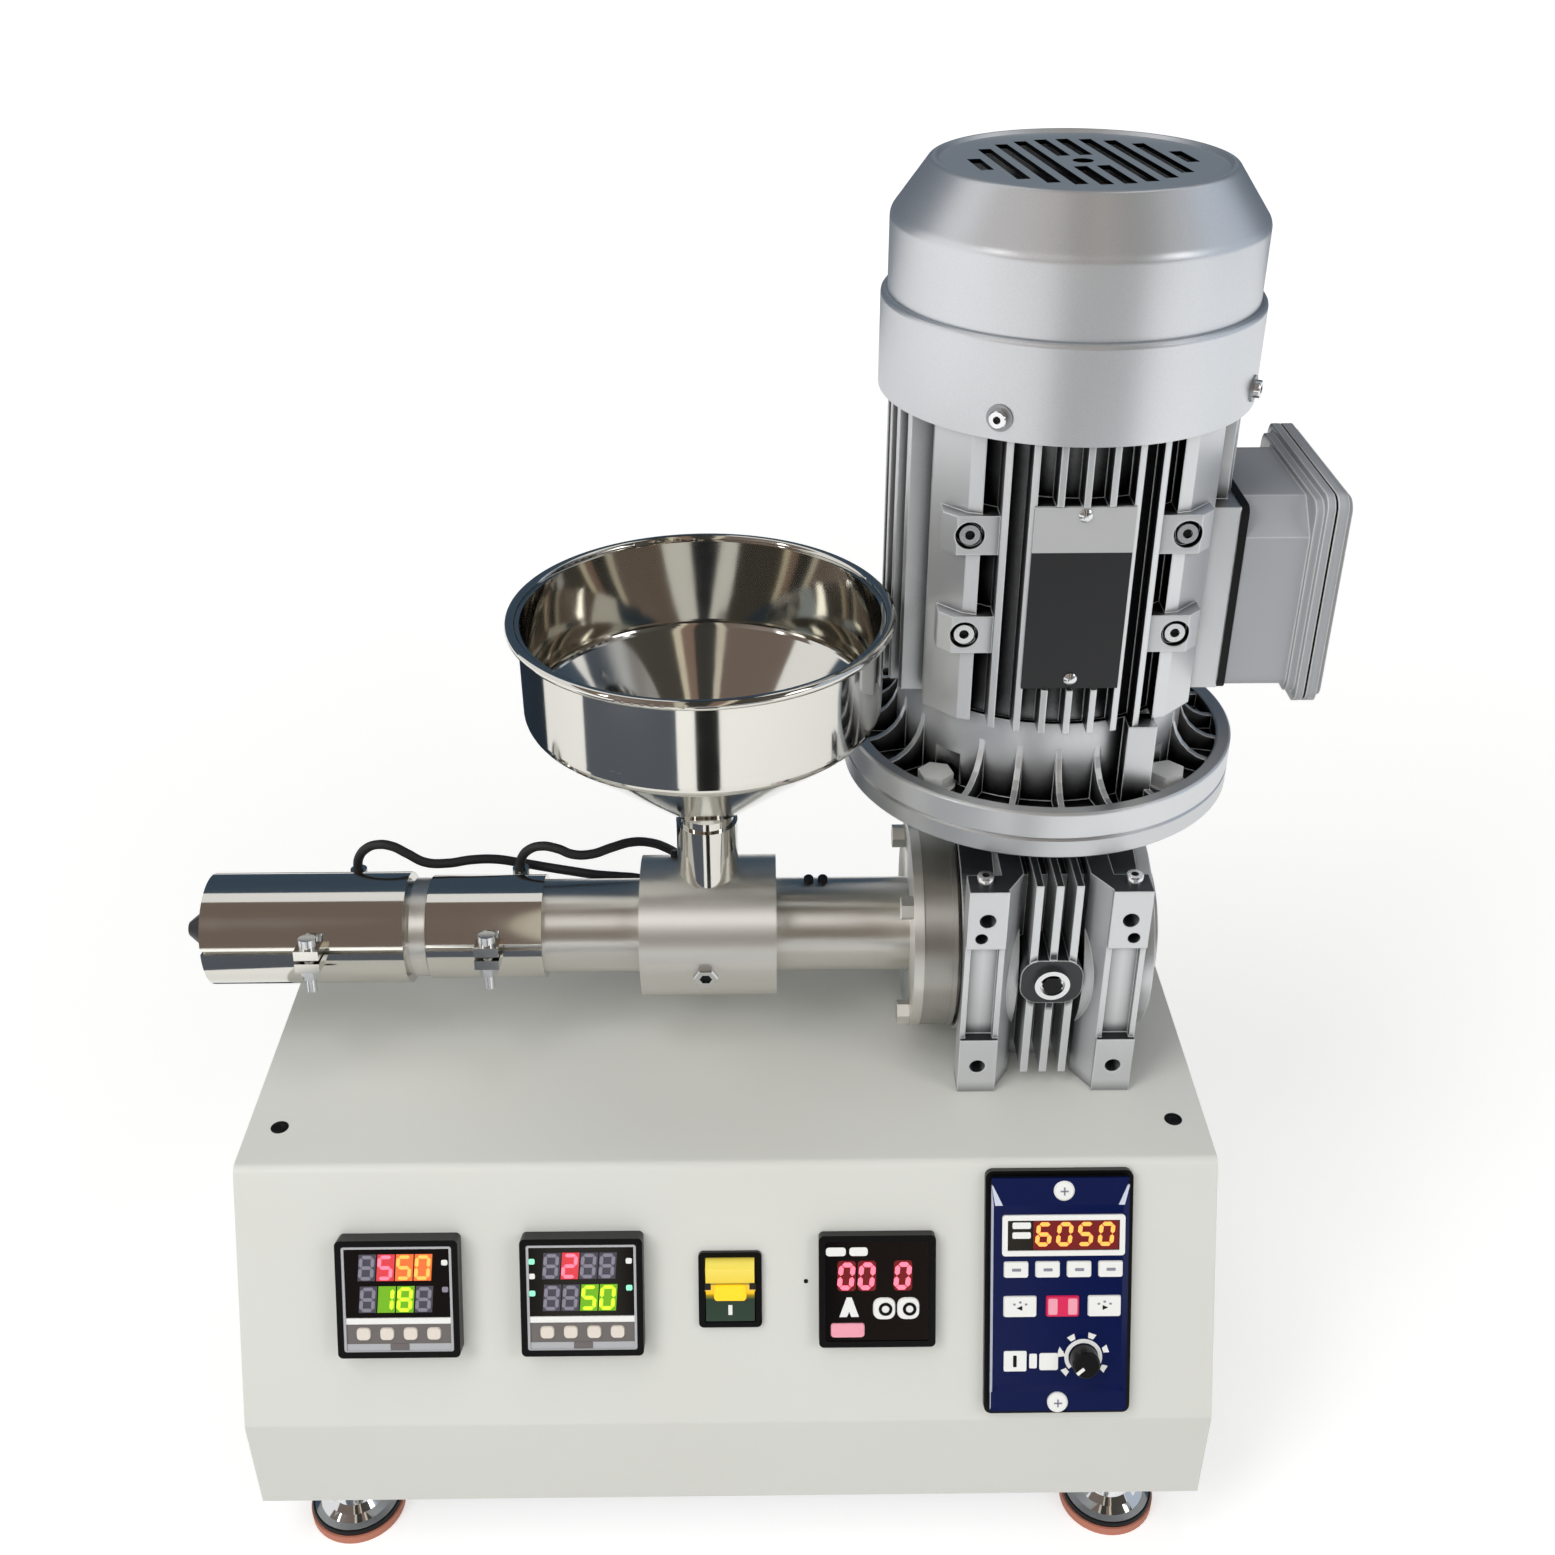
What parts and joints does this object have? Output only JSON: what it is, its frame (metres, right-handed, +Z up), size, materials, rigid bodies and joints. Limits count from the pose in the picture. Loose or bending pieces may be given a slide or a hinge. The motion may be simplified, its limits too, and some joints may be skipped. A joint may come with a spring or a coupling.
{
  "type": "bench-top filament extruder",
  "caption": "Bench-top filament extruder: sloping control cabinet on levelling feet, upright finned motor on a worm gearbox, heated barrel with nozzle and a steel feed hopper.",
  "frame": {"origin": "middle of the object's floor plan, on the floor under its feet", "axes": "+X to the right along the barrel from nozzle to gearbox, +Y from the instrument panel to the back, +Z up along the motor"},
  "size_m": [0.4596, 0.257, 0.5263],
  "materials": {
    "cabinet_paint": "light warm grey powder paint, fine texture",
    "plated_steel": "zinc-plated sheet steel",
    "foot_chrome": "polished plate",
    "foot_pad": "salmon-coloured pad",
    "black_plastic": "fine moulded texture",
    "controller_plastic": "moulded bezel",
    "rocker_amber": "translucent amber, polished",
    "speed_panel": "dark blue film face on a bevelled plate",
    "gearbox_aluminium": "die-cast and painted silver",
    "turned_steel": "turned, fine lines round the axis",
    "polished_steel": "polished stainless steel",
    "motor_aluminium": "die-cast and painted silver",
    "fan_cover_silver": "silver paint on drawn sheet",
    "terminal_grey": "grey moulded plastic",
    "nameplate_black": "bare black plate",
    "fixing_steel": "bright plated fasteners",
    "nozzle_steel": "blackened steel",
    "lead_black": "black sleeving"
  },
  "bodies": {
    "machine": {"cabinet_shell": "cabinet_paint", "left_side_panel": "cabinet_paint", "right_side_panel": "cabinet_paint", "bottom_plate": "plated_steel", "foot_front_left": "foot_chrome", "foot_front_right": "foot_chrome", "foot_rear_left": "foot_chrome", "foot_rear_right": "foot_chrome", "foot_pads": "foot_pad", "controller_left": "controller_plastic", "controller_right": "controller_plastic", "switch_frame": "black_plastic", "panel_meter": "black_plastic", "speed_controller": "speed_panel", "gearbox_housing": "gearbox_aluminium", "oil_plug": "fixing_steel", "gearbox_cover": "gearbox_aluminium", "output_spacer": "turned_steel", "barrel_flange": "turned_steel", "gearbox_flange": "gearbox_aluminium", "motor_end_shield": "motor_aluminium", "flange_bolts": "fixing_steel", "motor_frame": "motor_aluminium", "nameplate": "nameplate_black", "motor_rear_shield": "motor_aluminium", "fan_cover": "fan_cover_silver", "cooling_fan": "black_plastic", "terminal_box": "terminal_grey", "terminal_lid": "terminal_grey", "barrel": "polished_steel", "feed_collar": "turned_steel", "hopper_bowl": "polished_steel", "hopper_cone": "polished_steel", "hopper_tube": "polished_steel", "hopper_sleeve": "polished_steel", "heater_front": "polished_steel", "heater_rear": "polished_steel", "heater_clamps": "fixing_steel", "barrel_ring": "turned_steel", "nozzle": "nozzle_steel", "cable_glands": "black_plastic", "heater_lead_front": "lead_black", "heater_lead_rear": "lead_black"},
    "rocker": {"switch_rocker": "rocker_amber"},
    "knob": {"speed_knob": "black_plastic"}
  },
  "joints": [
    {"name": "rocker_tilt", "type": "hinge", "parent": "machine", "child": "rocker", "pos_m": [-0.00225, -0.10298, 0.12747], "axis": [1, 0, 0], "range_deg": [-24, 0]},
    {"name": "speed_turn", "type": "hinge", "parent": "machine", "child": "knob", "pos_m": [0.13725, -0.11892, 0.10416], "axis": [0, -0.9123, 0.4096], "range_deg": [-280, 0]}
  ]
}
